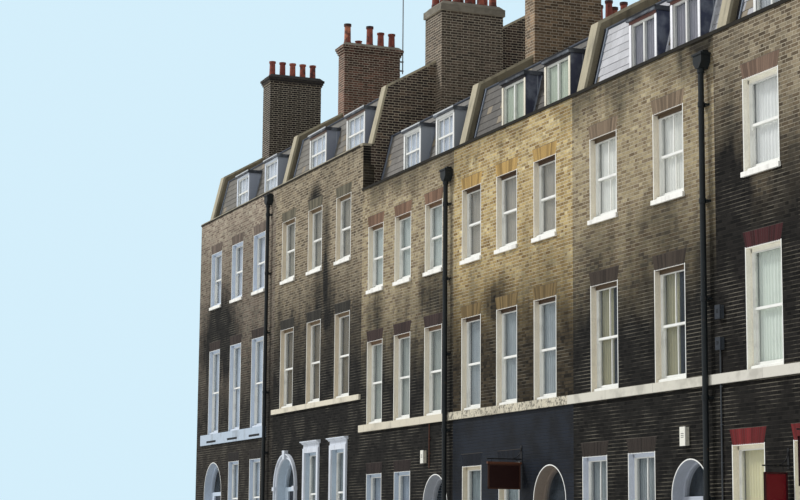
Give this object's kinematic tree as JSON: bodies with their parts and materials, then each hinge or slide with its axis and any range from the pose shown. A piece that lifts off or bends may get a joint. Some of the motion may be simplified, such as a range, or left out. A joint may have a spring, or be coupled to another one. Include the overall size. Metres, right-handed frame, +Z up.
{
  "type": "terraced house row",
  "caption": "Row of brick terraced houses with sash windows, parapets, mansard attics with dormers, chimney stacks with pots and hinged round-headed front doors.",
  "frame": {"origin": "ground level, mid-length of the row, on the centre line of the front wall", "axes": "+X along the row to the right as seen from the street, -Y to the street, +Z up"},
  "size_m": [38.91, 10.89, 19.45],
  "materials": {
    "brick_house_1": "matt brown stock brick",
    "brick_house_2": "matt sooty yellow stock brick",
    "brick_house_3": "matt brown stock brick",
    "brick_house_4": "matt yellow stock brick",
    "brick_house_5": "matt brown and yellow stock brick",
    "brick_house_6": "matt sooty stock brick",
    "brick_rear": "matt stock brick",
    "brick_party": "matt dark red brown brick",
    "floorboards": "bare boards",
    "slate": "riven slate",
    "terracotta": "unglazed",
    "coping_stone": "weathered",
    "render_strip": "painted render",
    "brick_stack": "matt sooty brick with cement",
    "mast_metal": "weathered",
    "lead_sheet": "dull lead",
    "lead_roof": "dull lead",
    "white_paint": "gloss painted wood",
    "window_glass": "clear",
    "rubbed_brick": "rubbed brick",
    "sill_stone": "painted stone",
    "painted_stone": "painted stone",
    "white_stone": "painted stone",
    "frame_paint": "gloss painted wood",
    "step_stone": "worn stone",
    "pipe_iron": "painted",
    "sign_paint": "painted board",
    "box_plastic": "matt",
    "door_paint": "gloss painted wood"
  },
  "bodies": {
    "root": {"ground_wall_1": "brick_house_1", "ground_wall_2": "brick_house_2", "ground_wall_3": "brick_house_3", "ground_wall_4": "brick_house_4", "ground_wall_5": "brick_house_5", "ground_wall_6": "brick_house_6", "front_wall_1": "brick_house_1", "front_wall_2": "brick_house_2", "front_wall_3": "brick_house_3", "front_wall_4": "brick_house_4", "front_wall_5": "brick_house_5", "front_wall_6": "brick_house_6", "rear_wall": "brick_rear", "party_walls": "brick_party", "ground_floors": "floorboards", "first_floors": "floorboards", "second_floors": "floorboards", "attic_floors": "floorboards", "mansard_slopes": "slate", "upper_slopes": "slate", "rear_upper_slopes": "slate", "ridge_tiles": "terracotta", "parapet_copings": "coping_stone", "party_copings": "render_strip", "chimney_stacks": "brick_stack", "chimney_pots": "terracotta", "aerial_mast": "mast_metal", "dormer_boxes": "lead_sheet", "dormer_roofs": "lead_roof", "dormer_windows": "white_paint", "ground_windows": "white_paint", "first_windows": "white_paint", "second_windows": "white_paint", "rear_windows": "white_paint", "front_glass": "window_glass", "rear_glass": "window_glass", "flat_arches": "rubbed_brick", "window_sills": "sill_stone", "sill_bands": "painted_stone", "stone_surrounds": "white_stone", "door_posts": "frame_paint", "door_heads": "frame_paint", "fanlights": "window_glass", "door_steps": "step_stone", "downpipes": "pipe_iron", "sign_boards": "sign_paint", "wall_boxes": "box_plastic"},
    "door_1": {"front_door_1": "door_paint"},
    "door_2": {"front_door_2": "door_paint"},
    "door_3": {"front_door_3": "door_paint"},
    "door_4": {"front_door_4": "door_paint"},
    "door_5": {"front_door_5": "door_paint"},
    "door_6": {"front_door_6": "door_paint"}
  },
  "joints": [
    {"name": "front_door_1_hinge", "type": "hinge", "parent": "root", "child": "door_1", "pos_m": [-17.963, 0.173, 0.68], "axis": [0, 0, 1], "range_deg": [0, 90]},
    {"name": "front_door_2_hinge", "type": "hinge", "parent": "root", "child": "door_2", "pos_m": [-10.603, 0.173, 0.68], "axis": [0, 0, 1], "range_deg": [0, 90]},
    {"name": "front_door_3_hinge", "type": "hinge", "parent": "root", "child": "door_3", "pos_m": [1.283, 0.173, 0.34], "axis": [0, 0, -1], "range_deg": [0, 90]},
    {"name": "front_door_4_hinge", "type": "hinge", "parent": "root", "child": "door_4", "pos_m": [7.363, 0.173, 0.34], "axis": [0, 0, -1], "range_deg": [0, 90]},
    {"name": "front_door_5_hinge", "type": "hinge", "parent": "root", "child": "door_5", "pos_m": [13.113, 0.173, 0.34], "axis": [0, 0, -1], "range_deg": [0, 90]},
    {"name": "front_door_6_hinge", "type": "hinge", "parent": "root", "child": "door_6", "pos_m": [18.813, 0.173, 0.34], "axis": [0, 0, -1], "range_deg": [0, 90]}
  ]
}
